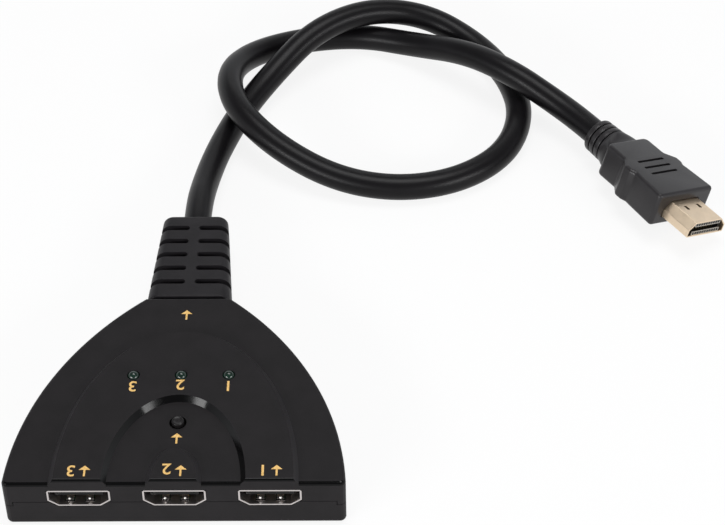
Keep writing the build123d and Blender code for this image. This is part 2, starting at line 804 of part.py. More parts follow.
def make_plug_shell():
    """Folded metal end with two latch holes on each wide face."""
    y0 = -plug_length + tip_seat
    y1 = -plug_length - tip_reach
    shell = tip_solid(tip_face(), y0, y1)
    shell = fillet(shell.edges().filter_by(Axis.Y), tip_round)
    shell -= tip_solid(tip_face(-tip_metal), y0 + cut_over, y1 - cut_over)
    for x in (-tip_hole_offset, tip_hole_offset):
        hole = Box(tip_hole_width, tip_hole_length, 2 * tip_height)
        hole = chamfer(hole.edges().filter_by(Axis.Z), tip_hole_corner)
        shell -= Pos(x, -plug_length - tip_hole_at, 0) * hole
    return shell


def make_plug_core():
    """Plastic core inside the metal end, with the slot that takes a socket's tongue."""
    y0 = -plug_length + tip_seat
    y1 = -plug_length - tip_reach + tip_core_recess
    core = tip_solid(tip_face(-tip_metal - tip_core_clear), y0, y1)
    width = tip_width - 2 * (tip_metal + tip_core_clear) - tip_slot_height
    length = tip_slot_depth + cut_over
    slot = Pos(0, y1 + tip_slot_depth - length / 2, 0) * Box(width, length, tip_slot_height)
    return core - slot


def make_plug_contacts():
    """Contacts on both faces of the core's slot."""
    y1 = -plug_length - tip_reach + tip_core_recess
    reach = tip_slot_depth - contact_setback
    pieces = []
    for i in range(contact_count):
        x = (i - (contact_count - 1) / 2) * contact_pitch
        way = 1 if i % 2 == 0 else -1
        z = way * (tip_slot_height - contact_thick) / 2
        pieces.append(Pos(x, y1 + contact_setback + reach / 2, z) * Box(contact_width, reach, contact_thick))
    return pieces


def group(pieces):
    """Several separate solids kept in one node."""
    return Compound(children=list(pieces))


def save(name, shape):
    """Writes one node."""
    export_step(shape, "parts/%s.step" % name)
    print(name)


bottom_shell, top_shell = make_shells()
save("bottom_shell", bottom_shell)
save("top_shell", top_shell)
save("main_board", make_board())
for number, x in zip((3, 2, 1), socket_xs):
    save("socket_%d_shell" % number, make_socket_shell(x))
    save("socket_%d_block" % number, make_socket_block(x))
    save("socket_%d_contacts" % number, group(make_socket_contacts(x)))
for number, x in zip((3, 2, 1), lamp_xs()):
    save("lamp_%d" % number, make_lamp(x))
save("lamp_leads", group(make_lamp_leads()))
switch_body, switch_cover_plate, switch_plunger = make_switch()
save("select_button", make_button())
save("switch_body", switch_body)
save("switch_cover", switch_cover_plate)
save("switch_plunger", switch_plunger)
chip_body, chip_pin_blocks = make_chip()
save("switch_chip", chip_body)
save("chip_pins", group(chip_pin_blocks))
save("board_parts", group(make_board_parts()))
save("cable_boot", make_boot())
save("inner_wires", group(make_wires()))
save("cable", make_cable())
place = plug_place()
save("plug_body", place * make_plug_body())
save("plug_shell", place * make_plug_shell())
save("plug_core", place * make_plug_core())
save("plug_contacts", place * group(make_plug_contacts()))
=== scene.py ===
import json
import math

import bmesh
import bpy
from mathutils import Matrix, Vector


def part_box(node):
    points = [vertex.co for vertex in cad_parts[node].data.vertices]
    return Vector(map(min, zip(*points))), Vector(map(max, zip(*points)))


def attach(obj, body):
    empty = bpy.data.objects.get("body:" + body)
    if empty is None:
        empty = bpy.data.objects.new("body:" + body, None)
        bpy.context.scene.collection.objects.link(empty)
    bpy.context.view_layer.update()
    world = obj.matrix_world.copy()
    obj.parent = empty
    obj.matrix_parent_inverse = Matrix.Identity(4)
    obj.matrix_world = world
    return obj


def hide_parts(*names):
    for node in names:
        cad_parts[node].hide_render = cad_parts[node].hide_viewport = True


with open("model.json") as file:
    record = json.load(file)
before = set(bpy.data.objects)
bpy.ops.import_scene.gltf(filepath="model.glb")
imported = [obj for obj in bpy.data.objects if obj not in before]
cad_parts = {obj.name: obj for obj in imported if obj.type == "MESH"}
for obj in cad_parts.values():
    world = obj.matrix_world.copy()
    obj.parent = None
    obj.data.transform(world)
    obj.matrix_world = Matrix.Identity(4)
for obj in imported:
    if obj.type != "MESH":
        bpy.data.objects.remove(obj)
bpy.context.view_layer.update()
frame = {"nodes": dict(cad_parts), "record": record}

MM = 0.001
NODES = frame["nodes"]
NODE_BODIES = {name: body
               for body, names in frame["record"]["behaviour"]["bodies"].items()
               for name in names}

# Each input has a socket and a lamp of this number
INPUTS = (1, 2, 3)

# The camera that took the photograph, placed by the sockets' known width
IMAGE_WIDTH = 725
FOCAL_PIXELS = 2250.55
SENSOR_MM = 36.0
CAMERA_PLACE = (0.04829, -0.37729, 0.41873)
CAMERA_DOWN = 43.833
CAMERA_TURN = -0.511
CAMERA_ROLL = -0.611
CAMERA_CLIP = 0.01

# Cable, with the same points as the model's tube
CABLE_DIAMETER = 0.0073
CABLE_RING_STEPS = 10
CABLE_SPAN_STEPS = 16
CABLE_ROUTE_MM = [
    (0.0, 64.25, 6.95), (0.0, 74.0, 6.95), (1.2, 87.0, 4.7), (4.0, 101.0, 3.7),
    (9.4, 117.0, 3.7), (18.5, 131.8, 6.3), (30.5, 144.5, 12.0), (46.5, 153.8, 12.5),
    (63.5, 156.0, 8.5), (78.0, 147.5, 4.3), (87.0, 132.5, 3.7), (90.0, 115.5, 3.7),
    (84.5, 98.5, 3.7), (71.0, 87.5, 3.7), (54.0, 84.0, 3.7), (37.0, 87.0, 5.0),
    (21.0, 95.5, 9.0), (9.0, 108.5, 12.2), (5.5, 125.0, 11.3), (11.5, 140.5, 6.5),
    (26.0, 150.5, 3.7), (44.0, 152.5, 3.7), (60.0, 146.0, 5.2), (74.5, 134.5, 11.6),
    (86.9, 123.6, 12.8), (97.7, 116.2, 9.2), (105.4, 108.7, 7.85), (110.3, 101.6, 7.85),
]

# Plug, in millimetres and in its own frame: the metal end points along -Y, the neck along +Y
PLUG_ROLL = 19.0
PLUG_NECK = 10.0
PLUG_HEIGHT = 9.8
PLUG_LENGTH = 26.0
PLUG_SHARP_ANGLE = 30.0

# Grip: widths and places along its length, the rounds of its outline, and the rims above and below
PLUG_STATIONS = [(15.4, 0.0), (15.4, -7.8), (20.2, -10.8), (20.2, -13.0), (18.8, -14.5),
                 (19.2, -16.0), (20.6, -PLUG_LENGTH)]
PLUG_BACK_ROUND = 1.9
PLUG_FRONT_ROUND = 1.1
PLUG_WAIST_ROUND = 1.1
PLUG_RIM_ROUND = 1.0
PLUG_RIM_STEPS = 6
GRIP_PLACES = (-10.4, -13.3, -16.2)
GRIP_SIZE = (9.8, 0.9)
GRIP_DEPTH = 0.6
SLOT_END_SHARE = 0.45

# Seat of the metal end in the grip's front face
SEAT_OUTLINE = [(-7.2, -2.48), (7.2, -2.48), (7.2, 0.2), (5.1, 2.48), (-5.1, 2.48), (-7.2, 0.2)]
SEAT_DEPTH = 0.4
SEAT_MARGIN = 1.0

# Neck of the plug: a cone from half width, half height and squareness to a circle, then rings
CONE_BACK = (6.0, 4.4, 4.0)
CONE_START = -1.0
CONE_LENGTH = 3.8
CONE_FRONT = 5.25
CONE_STEPS = 8
GROOVE_RADIUS = 4.2
RING_RADIUS = 5.0
RING_PITCH = 2.05
RING_WIDTH = 1.55
RING_ROUND = 0.25
RING_ROUND_STEPS = 4
RING_COUNT = 3
RING_LEAD = 0.02

# Mouth of the plug: strips with contact wells, with the count and height of each row
MOUTH_FACE = -PLUG_LENGTH - 9.9
MOUTH_THICK = 0.3
MOUTH_STRIP = 1.2
MOUTH_PITCH = 0.92
MOUTH_RIM = 0.3
MOUTH_WELL = (0.58, 0.72)
MOUTH_ROWS = [(10, 1.3), (11, -1.3)]

# Spring tips in the socket mouths, in millimetres: sideways from each shell's middle,
# behind its front and below its top
TIP_RADIUS = 0.36
TIP_SPREAD = 2.4
TIP_BACK = 1.2
TIP_DROP = 4.1
TIP_SHARP_ANGLE = 60.0

# Boot, in millimetres: two rounded rectangles (width, height, round) and what lies between them
BOOT_BACK_Y = 31.65
BOOT_LENGTH = 32.6
BOOT_Z = 6.95
BOOT_BASE = (22.0, 13.2, 3.2)
BOOT_END = (17.2, 11.0, 2.8)
BOOT_LEAST_ROUND = 0.4
BOOT_EDGE = 0.9
BOOT_FOOT_ROUND = 0.6
BOOT_ARC_STEPS = 5
BOOT_TAPER_SHARES = (0.25, 0.5, 0.75)
BOOT_CORE_SHARES = (0.01, 0.99)
BOOT_SLOT_DEPTH = 2.3
BOOT_SLOT_FIRST = 6.6
BOOT_SLOT_PITCH = 5.25
BOOT_SLOT_WIDTH = 1.7
BOOT_SLOTS = 5
BOOT_SPINE = 2.5
BOOT_GROOVE = 0.9
BOOT_GROOVE_DEPTH = 1.1
BOOT_SOFT_EDGE = 0.22
BOOT_NECK_WIDTH = 16.0
BOOT_NECK_HEIGHT = 9.4
BOOT_NECK_SOFT_EDGE = 0.4
BOOT_NECK_EDGE_STEPS = 3

# Lamps and button, in millimetres: radii and heights; each has a flange under the roof
TURNED_SHARP_ANGLE = 50.0
LAMP_RADIUS = 1.5
LAMP_SHOULDER = 15.2
LAMP_STEPS = 10
LAMP_TIP = 0.04
LAMP_FLANGE = 1.9
LAMP_FLANGE_LOW = 11.3
LAMP_FLANGE_HIGH = 12.3
BUTTON_RADIUS = 1.55
BUTTON_TOP = 15.3
BUTTON_EDGE = 0.4
BUTTON_EDGE_STEPS = 5
BUTTON_FLANGE = 2.8
BUTTON_FLANGE_THICK = 0.8
BUTTON_HOLLOW = [(1.1, 0.03), (0.6, 0.07), (0.03, 0.09)]

# Levels of the case's top, and which of its slanted faces get materials of their own: a lighter
# colour on the outer ones as a painted highlight, and a near-black glossy one on the dish's rim and
# the front's upper edge, whose darkness is partly painted shade
UPPER_LEVEL = 15.8 * MM
LOWER_LEVEL = 14.4 * MM
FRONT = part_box("top_shell")[0].y
EDGE_REACH = 2.2 * MM
SLANT_LOW = 0.2
SLANT_HIGH = 0.98

# Printed marks on the top: sizes, and how far their middles lie behind the front and to the side
PRINT_THICK = 0.03 * MM
FIGURE_HEIGHT = 3.3 * MM
FIGURE_BOLD = 0.05 * MM
FONT_FIGURE_SHARE = 0.7
LAMP_FIGURE_BACK = 30.2 * MM
SOCKET_FIGURE_BACK = 3.0 * MM
SOCKET_FIGURE_SHIFT = -1.6 * MM
SOCKET_ARROW_SHIFT = 1.7 * MM
BUTTON_ARROW_BACK = 14.4 * MM
CABLE_ARROW_BACK = 56.2 * MM
ARROW_SHAFT_SHARE = 0.14
ARROW_HEAD_SHARE = 0.42
ARROW_WAIST_SHARE = 0.1

# Plastics: colour, roughness, grain in cycles per metre, its depth and strength, mirror strength
PLASTICS = {
    "case": ((0.0092, 0.0080, 0.0088), 0.50, 5200.0, 0.02 * MM, 0.5, 0.15),
    # painted highlight: a lighter copy of the case's colour for the outer slanted faces, in place
    # of the highlight along their rounded edges
    "painted_highlight_slope": ((0.0150, 0.0135, 0.0148), 0.42, 5200.0, 0.02 * MM, 0.5, 0.26),
    # glossier than the case; its near-black colour, darker than the case's own, is painted shade
    # for the dark that these glossy faces mirror
    "gloss": ((0.0010, 0.0009, 0.0010), 0.12, 5200.0, 0.002 * MM, 0.5, 0.18),
    "boot": ((0.0125, 0.0113, 0.0128), 0.45, 3800.0, 0.015 * MM, 0.5, 0.17),
    "plug": ((0.0125, 0.0110, 0.0122), 0.36, 4200.0, 0.02 * MM, 0.5, 0.42),
    "cable": ((0.0040, 0.0035, 0.0042), 0.36, 2600.0, 0.012 * MM, 0.35, 0.17),
    "block": ((0.006, 0.006, 0.006), 0.45, 4000.0, 0.01 * MM, 0.5, 0.2),
    "button": ((0.0105, 0.0095, 0.0100), 0.30, 5200.0, 0.01 * MM, 0.5, 0.22),
    "wire": ((0.25, 0.03, 0.025), 0.4, 3000.0, 0.01 * MM, 0.5, 0.5),
    "ceramic": ((0.16, 0.12, 0.08), 0.5, 3000.0, 0.01 * MM, 0.5, 0.5),
}
PLASTIC_SHADE_VARY = 0.12
PLASTIC_SHADE_SCALE = 180.0

# Metals: colour, roughness, rolled lines in cycles per metre, and how the lines are stretched
METALS = {
    "socket_metal": ((0.62, 0.58, 0.57), 0.34, 1500.0, (0.2, 1.0, 1.0)),
    "tin": ((0.70, 0.70, 0.68), 0.35, 1500.0, (1.0, 1.0, 0.2)),
    "gold": ((0.84, 0.68, 0.50), 0.36, 1800.0, (1.0, 0.2, 1.0)),
    "contact": ((0.88, 0.66, 0.32), 0.28, 1800.0, (1.0, 0.2, 1.0)),
    "mouth": ((0.60, 0.56, 0.50), 0.4, 1500.0, (1.0, 1.0, 1.0)),
    "tip": ((0.90, 0.88, 0.84), 0.45, 1500.0, (1.0, 1.0, 1.0)),
}
METAL_DULL_SHARE = 0.93
METAL_SHADE_SCALE = 420.0
METAL_LINE_DEPTH = 0.002 * MM
METAL_LINE_STRENGTH = 0.12

# Where noise values lie for the most part, where shades blend, and how far the gloss varies
NOISE_ENDS = (0.3, 0.7)
SHADE_ENDS = (0.35, 0.65)
ROUGHNESS_VARY = 0.04

# The finish of each CAD node that shows itself
NODE_FINISHES = {
    "bottom_shell": "case", "top_shell": "case", "main_board": "board", "lamp_leads": "tin",
    "chip_pins": "tin", "switch_body": "block", "switch_cover": "socket_metal",
    "switch_plunger": "block", "switch_chip": "block", "board_parts": "ceramic",
    "inner_wires": "wire", "plug_shell": "gold", "plug_core": "block", "plug_contacts": "contact",
}
for number in INPUTS:
    NODE_FINISHES["socket_%d_shell" % number] = "socket_metal"
    NODE_FINISHES["socket_%d_block" % number] = "block"
    NODE_FINISHES["socket_%d_contacts" % number] = "contact"

# Studio: the world's level and colour, the sines of the heights where the white backdrop ends,
# the floor, and each lamp's name, place, target, size in metres and power in watts
WORLD_LEVEL = 0.28
WORLD_COLOUR = (0.95, 0.97, 1.0, 1.0)
BACKDROP_TOP = 0.50
BACKDROP_FADE = 0.28
FLOOR_REACH = 6.0
FLOOR_COLOUR = (0.86, 0.86, 0.86, 1.0)
FLOOR_GLOW_SHARE = 0.86
OBJECT_MIDDLE = (0.04, 0.05, 0.0)
CASE_MIDDLE = (0.0, 0.0, 0.01)
STUDIO_LAMPS = [
    ("overhead", (0.1, 0.2, 1.1), OBJECT_MIDDLE, (0.7, 0.5), 6.2),
    ("behind", (0.1, 1.2, 0.75), OBJECT_MIDDLE, (0.9, 0.18), 1.0),
    ("front_left", (-0.617, -0.685, 0.40), CASE_MIDDLE, (0.68, 0.20), 6.0),
    ("front_right", (0.731, -0.561, 0.40), CASE_MIDDLE, (0.55, 0.20), 4.2),
]


def add_object(name, data):
    """A new object in the scene from its data."""
    added = bpy.data.objects.new(name, data)
    bpy.context.scene.collection.objects.link(added)
    return added


def link(name, data, body):
    """A new piece from its data, riding on a body."""
    piece = add_object(name, data)
    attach(piece, body)
    return piece


def box_middle(node):
    """The middle of a CAD node's box."""
    low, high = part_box(node)
    return (low + high) / 2


def make_camera():
    """A camera at the photograph's place and angle."""
    down, turn, roll = (math.radians(v) for v in (CAMERA_DOWN, CAMERA_TURN, CAMERA_ROLL))
    forward = Vector((math.sin(turn) * math.cos(down), math.cos(turn) * math.cos(down),
                      -math.sin(down)))
    level = Vector((math.cos(turn), -math.sin(turn), 0.0))
    upright = level.cross(forward)
    right = level * math.cos(roll) + upright * math.sin(roll)
    up = upright * math.cos(roll) - level * math.sin(roll)
    data = bpy.data.cameras.new("camera")
    data.sensor_width = SENSOR_MM
    data.lens = FOCAL_PIXELS / IMAGE_WIDTH * SENSOR_MM
    data.clip_start = CAMERA_CLIP
    camera = add_object("camera", data)
    turned = Matrix((right, up, -forward)).transposed().to_4x4()
    camera.matrix_world = Matrix.Translation(CAMERA_PLACE) @ turned
    bpy.context.scene.camera = camera


def make_cable():
    """The cable as one smooth spline along its route, with the boot and the plug on it."""
    curve = bpy.data.curves.new("cable_curve", "CURVE")
    curve.dimensions = "3D"
    curve.bevel_depth = 1.0
    curve.bevel_resolution = CABLE_RING_STEPS
    curve.resolution_u = CABLE_SPAN_STEPS
    curve.use_fill_caps = True
    spline = curve.splines.new("NURBS")
    spline.points.add(len(CABLE_ROUTE_MM) - 1)
    for point, place in zip(spline.points, CABLE_ROUTE_MM):
        point.co = (place[0] * MM, place[1] * MM, place[2] * MM, 1.0)
        point.radius = CABLE_DIAMETER / 2
    spline.order_u = 3
    spline.use_endpoint_u = True
    cable = link("cable_jacket", curve, "case")
    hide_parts("cable")
    boot, neck = make_boot()
    plug = make_plug_body()
    return cable, boot, neck, plug


def finished_mesh(bm, name, sharp_above=40.0):
    """A mesh from working geometry in millimetres, smooth except at its sharp edges."""
    bmesh.ops.recalc_face_normals(bm, faces=bm.faces)
    bmesh.ops.scale(bm, vec=(MM, MM, MM), verts=bm.verts)
    mesh = bpy.data.meshes.new(name)
    bm.to_mesh(mesh)
    bm.free()
    mesh.shade_smooth()
    mesh.set_sharp_from_angle(angle=math.radians(sharp_above))
    return mesh


def working_geometry(mesh):
    """Working geometry in millimetres from a finished mesh."""
    bm = bmesh.new()
    bm.from_mesh(mesh)
    bmesh.ops.scale(bm, vec=(1 / MM, 1 / MM, 1 / MM), verts=bm.verts)
    return bm


def skin(bm, sections):
    """Joins closed sections of equally many points, in order, and caps both ends."""
    rings = [[bm.verts.new(point) for point in section] for section in sections]
    count = len(rings[0])
    for low, high in zip(rings, rings[1:]):
        for i in range(count):
            j = (i + 1) % count
            bm.faces.new((low[i], low[j], high[j], high[i]))
    bm.faces.new(list(reversed(rings[0])))
    bm.faces.new(rings[-1])


def quarter_turns(steps, first=0):
    """The angles of a quarter circle in equal steps, from the first step that is wanted."""
    return [math.pi / 2 * i / steps for i in range(first, steps + 1)]


def rounded_section(width, height, radius, y, lift=0.0, steps=8):
    """A rounded rectangle that stands in X and Z."""
    points = []
    for quarter, (sx, sz) in enumerate(((1, 1), (-1, 1), (-1, -1), (1, -1))):
        for i in range(steps + 1):
            angle = math.pi / 2 * (quarter + i / steps)
            points.append((sx * (width / 2 - radius) + radius * math.cos(angle), y,
                           lift + sz * (height / 2 - radius) + radius * math.sin(angle)))
    return points


def turned_section(radius, y, steps=48):
    """A circle about the Y axis."""
    turns = [2 * math.pi * i / steps for i in range(steps)]
    return [(radius * math.cos(t), y, radius * math.sin(t)) for t in turns]


def bulged_section(half_width, half_height, power, y, steps=48):
    """A rounded outline about the Y axis: power 2 is an ellipse, more is squarer."""
    points = []
    for i in range(steps):
        angle = 2 * math.pi * i / steps
        c, s = math.cos(angle), math.sin(angle)
        points.append((half_width * math.copysign(abs(c) ** (2 / power), c), y,
                       half_height * math.copysign(abs(s) ** (2 / power), s)))
    return points


def carve(piece, bm):
    """Cuts working geometry in millimetres out of a piece, for good."""
    cutter = add_object("cutter", finished_mesh(bm, "cutter"))
    cut = piece.modifiers.new("cut", "BOOLEAN")
    cut.object = cutter
    cut.solver = "EXACT"
    bpy.context.view_layer.update()
    graph = bpy.context.evaluated_depsgraph_get()
    mesh = bpy.data.meshes.new_from_object(piece.evaluated_get(graph))
    piece.modifiers.remove(cut)
    old = piece.data
    piece.data = mesh
    bpy.data.meshes.remove(old)
    bpy.data.objects.remove(cutter)


def soften(piece, width, segments=2, angle=38.0):
    """A fine round along the piece's sharp edges."""
    bevel = piece.modifiers.new("edges", "BEVEL")
    bevel.width = width
    bevel.segments = segments
    bevel.limit_method = "ANGLE"
    bevel.angle_limit = math.radians(angle)
    bevel.harden_normals = True


def add_box(bm, middle, size):
    """A box by its middle and its size along X, Y and Z."""
    stretched = Matrix.Translation(middle) @ Matrix.Diagonal((*size, 1.0))
    bmesh.ops.create_cube(bm, size=1.0, matrix=stretched)


def round_uprights(bm, radius):
    """Rounds the upright edges of boxes, as the ends of slots and grooves are."""
    uprights = [edge for edge in bm.edges
                if (edge.verts[0].co - edge.verts[1].co).normalized().z ** 2 > 0.5]
    bmesh.ops.bevel(bm, geom=uprights, offset=radius, segments=4, profile=0.5, affect="EDGES")


def boot_section(share, inset=0.0):
    """The boot's outline at a share of its length, set in by an inset."""
    width, height, radius = (a + (b - a) * share for a, b in zip(BOOT_BASE, BOOT_END))
    y = BOOT_BACK_Y + BOOT_LENGTH * share
    radius = max(radius - inset, BOOT_LEAST_ROUND)
    return rounded_section(width - 2 * inset, height - 2 * inset, radius, y, BOOT_Z)


def boot_sections():
    """The boot's outlines: groove, rounded foot, taper and rounded end."""
    foot = BOOT_GROOVE / BOOT_LENGTH
    sections = [boot_section(share, BOOT_GROOVE_DEPTH) for share in (0.0, foot)]
    for turn in quarter_turns(BOOT_ARC_STEPS):
        share = foot + BOOT_FOOT_ROUND * (1.0 - math.cos(turn)) / BOOT_LENGTH
        sections.append(boot_section(share, BOOT_FOOT_ROUND * (1.0 - math.sin(turn))))
    end = 1.0 - BOOT_EDGE / BOOT_LENGTH
    sections += [boot_section(share) for share in (*BOOT_TAPER_SHARES, end)]
    for turn in quarter_turns(BOOT_ARC_STEPS, 1):
        share = 1.0 - BOOT_EDGE * (1.0 - math.sin(turn)) / BOOT_LENGTH
        sections.append(boot_section(share, BOOT_EDGE * (1.0 - math.cos(turn))))
    return sections


def make_boot():
    """The moulded boot: a tapered body with slots on both sides of a spine, over a plain core."""
    bm = bmesh.new()
    skin(bm, boot_sections())
    boot = link("boot_cover", finished_mesh(bm, "boot_cover"), "case")
    cut = bmesh.new()
    reach = BOOT_BASE[0]
    for i in range(BOOT_SLOTS):
        y = BOOT_BACK_Y + BOOT_SLOT_FIRST + i * BOOT_SLOT_PITCH
        for side in (-1, 1):
            add_box(cut, (side * (BOOT_SPINE + reach) / 2, y, BOOT_Z),
                    (reach, BOOT_SLOT_WIDTH, 2 * BOOT_BASE[1]))
    round_uprights(cut, BOOT_SLOT_WIDTH * SLOT_END_SHARE)
    carve(boot, cut)
    bm = working_geometry(boot.data)
    skin(bm, [boot_section(share, BOOT_SLOT_DEPTH) for share in BOOT_CORE_SHARES])
    boot.data = finished_mesh(bm, "boot_cover")
    soften(boot, BOOT_SOFT_EDGE * MM)
    neck = make_boot_neck()
    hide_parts("cable_boot")
    return boot, neck


def make_boot_neck():
    """The boot's neck, from inside the case to the boot's foot."""
    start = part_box("cable_boot")[0].y / MM
    bm = bmesh.new()
    add_box(bm, (0.0, (start + BOOT_BACK_Y) / 2, BOOT_Z),
            (BOOT_NECK_WIDTH, BOOT_BACK_Y - start, BOOT_NECK_HEIGHT))
    neck = link("boot_neck", finished_mesh(bm, "boot_neck"), "case")
    soften(neck, BOOT_NECK_SOFT_EDGE * MM, BOOT_NECK_EDGE_STEPS)
    return neck


def plug_matrix():
    """Where the plug's own frame lies."""
    end, before = (Vector(p) for p in (CABLE_ROUTE_MM[-1], CABLE_ROUTE_MM[-2]))
    way = (end - before).normalized()
    origin = (end + way * PLUG_NECK) * MM
    yaw = math.atan2(way.x, -way.y)
    turn = Matrix.Rotation(yaw, 4, "Z") @ Matrix.Rotation(math.radians(PLUG_ROLL), 4, "Y")
    return Matrix.Translation(origin) @ turn


def rounded_outline(corners, steps=6):
    """Points and outward normals of a closed outline whose (x, y, radius) corners are rounded."""
    ring = []
    for i, (x, y, radius) in enumerate(corners):
        here = Vector((x, y))
        back = (Vector(corners[i - 1][:2]) - here).normalized()
        ahead = (Vector(corners[(i + 1) % len(corners)][:2]) - here).normalized()
        half = back.angle(ahead) / 2
        middle = here + (back + ahead).normalized() * (radius / math.sin(half))
        first = here + back * (radius / math.tan(half)) - middle
        sweep = first.angle_signed(here + ahead * (radius / math.tan(half)) - middle)
        side = 1.0 if sweep > 0.0 else -1.0
        for step in range(steps + 1):
            arm = Matrix.Rotation(-sweep * step / steps, 2) @ first
            ring.append((middle + arm, arm.normalized() * side))
    return ring


def grip_sections():
    """The grip's outlines one above the other, set in along the rounded rims."""
    waists = [PLUG_WAIST_ROUND] * (len(PLUG_STATIONS) - 2)
    radii = [PLUG_BACK_ROUND] + waists + [PLUG_FRONT_ROUND]
    right = [(width / 2, y, radius) for (width, y), radius in zip(PLUG_STATIONS, radii)]
    ring = rounded_outline(right + [(-x, y, radius) for x, y, radius in reversed(right)])
    rim = [(PLUG_RIM_ROUND * (1.0 - math.sin(turn)),
            PLUG_HEIGHT / 2 - PLUG_RIM_ROUND * (1.0 - math.cos(turn)))
           for turn in quarter_turns(PLUG_RIM_STEPS)]
    levels = [(inset, -height) for inset, height in rim]
    levels += [(inset, height) for inset, height in reversed(rim)]
    return [[(*(point - normal * inset), height) for point, normal in ring]
            for inset, height in levels]


def neck_sections():
    """Outlines from inside the body, over the cone and the rounded rings, to the cable."""
    half_width, half_height, power = CONE_BACK
    sections = [bulged_section(half_width, half_height, power, CONE_START)]
    for i in range(CONE_STEPS + 1):
        share = i / CONE_STEPS
        ease = share * share * (3 - 2 * share)
        sections.append(bulged_section(half_width + (CONE_FRONT - half_width) * ease,
                                       half_height + (CONE_FRONT - half_height) * ease,
                                       power + (2.0 - power) * ease, CONE_LENGTH * share))
    for ring in reversed(range(RING_COUNT)):
        high = PLUG_NECK - ring * RING_PITCH
        low = high - RING_WIDTH
        radius = RING_RADIUS + (CONE_FRONT - RING_RADIUS) * ring / RING_COUNT
        sections.append(turned_section(GROOVE_RADIUS, low - RING_LEAD))
        sections.append(turned_section(GROOVE_RADIUS, low))
        for middle, quarter in ((low + RING_ROUND, 0.0), (high - RING_ROUND, math.pi / 2)):
            for turn in quarter_turns(RING_ROUND_STEPS):
                inset = RING_ROUND * (1 - math.sin(quarter + turn))
                y = middle - RING_ROUND * math.cos(quarter + turn)
                sections.append(turned_section(radius - inset, y))
        sections.append(turned_section(GROOVE_RADIUS, high))
    return sections


def make_plug_body():
    """The moulded plug body: waisted grip with rounded rims, grooves, seat and ringed neck."""
    bm = bmesh.new()
    skin(bm, grip_sections())
    plug = link("plug_cover", finished_mesh(bm, "plug_cover", PLUG_SHARP_ANGLE), "case")
    cut = bmesh.new()
    for y in GRIP_PLACES:
        for side in (-1, 1):
            add_box(cut, (0.0, y, side * PLUG_HEIGHT / 2), (*GRIP_SIZE, 2 * GRIP_DEPTH))
    round_uprights(cut, GRIP_SIZE[1] * SLOT_END_SHARE)
    skin(cut, [[(x, depth - PLUG_LENGTH, z) for x, z in SEAT_OUTLINE]
               for depth in (SEAT_DEPTH, -SEAT_MARGIN)])
    carve(plug, cut)
    bm = working_geometry(plug.data)
    skin(bm, neck_sections())
    plug.data = finished_mesh(bm, "plug_cover", PLUG_SHARP_ANGLE)
    plug.data.transform(plug_matrix())
    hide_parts("plug_body")
    return plug


def make_plug_mouth(strip_finish, well_finish):
    """Face of the plug's core: a pale strip above and below the slot, with dark contact wells."""
    strips, wells = bmesh.new(), bmesh.new()
    for count, height in MOUTH_ROWS:
        length = count * MOUTH_PITCH + MOUTH_RIM
        add_box(strips, (0.0, MOUTH_FACE, height), (length, MOUTH_THICK, MOUTH_STRIP))
        for i in range(count):
            x = (i - (count - 1) / 2) * MOUTH_PITCH
            add_box(wells, (x, MOUTH_FACE - MOUTH_THICK / 2, height),
                    (MOUTH_WELL[0], MOUTH_THICK / 2, MOUTH_WELL[1]))
    for name, bm, finish, slot in (("mouth_strips", strips, strip_finish, "contact_gold"),
                                   ("mouth_wells", wells, well_finish, "black_plastic")):
        mesh = finished_mesh(bm, name)
        mesh.transform(plug_matrix())
        mesh.materials.append(finish)
        link(name, mesh, "case")


def make_spring_tips(material):
    """The two bright spring tips that show low in each socket's mouth."""
    for number in INPUTS:
        low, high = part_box("socket_%d_shell" % number)
        mouth = Vector(((low.x + high.x) / 2, low.y, high.z)) / MM
        for side in (-1, 1):
            bm = bmesh.new()
            bmesh.ops.create_uvsphere(bm, u_segments=16, v_segments=8, radius=TIP_RADIUS)
            shift = Vector((side * TIP_SPREAD, TIP_BACK, -TIP_DROP))
            bmesh.ops.translate(bm, vec=mouth + shift, verts=bm.verts)
            name = "spring_tip_%d_%d" % (number, side + 1)
            tip = link(name, finished_mesh(bm, name, TIP_SHARP_ANGLE), "case")
            tip.data.materials.append(material)


def turned_piece(name, node, profile):
    """A turned piece on an upright axis through a node's middle, in place of that node."""
    middle = box_middle(node) / MM
    bm = bmesh.new()
    skin(bm, [[(middle.x + x, middle.y + y, height) for x, _, y in turned_section(radius, 0.0)]
              for radius, height in profile])
    piece = link(name, finished_mesh(bm, name, TURNED_SHARP_ANGLE), NODE_BODIES[node])
    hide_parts(node)
    return piece


def make_lamps(material):
    """Three lamps: flange, barrel and a smooth dome."""
    profile = [(LAMP_FLANGE, LAMP_FLANGE_LOW), (LAMP_FLANGE, LAMP_FLANGE_HIGH),
               (LAMP_RADIUS, LAMP_FLANGE_HIGH)]
    profile += [(LAMP_RADIUS * math.cos(turn), LAMP_SHOULDER + LAMP_RADIUS * math.sin(turn))
                for turn in quarter_turns(LAMP_STEPS)[:-1]]
    profile.append((LAMP_TIP, LAMP_SHOULDER + LAMP_RADIUS))
    for number in INPUTS:
        lamp = turned_piece("lamp_dome_%d" % number, "lamp_%d" % number, profile)
        lamp.data.materials.append(material)


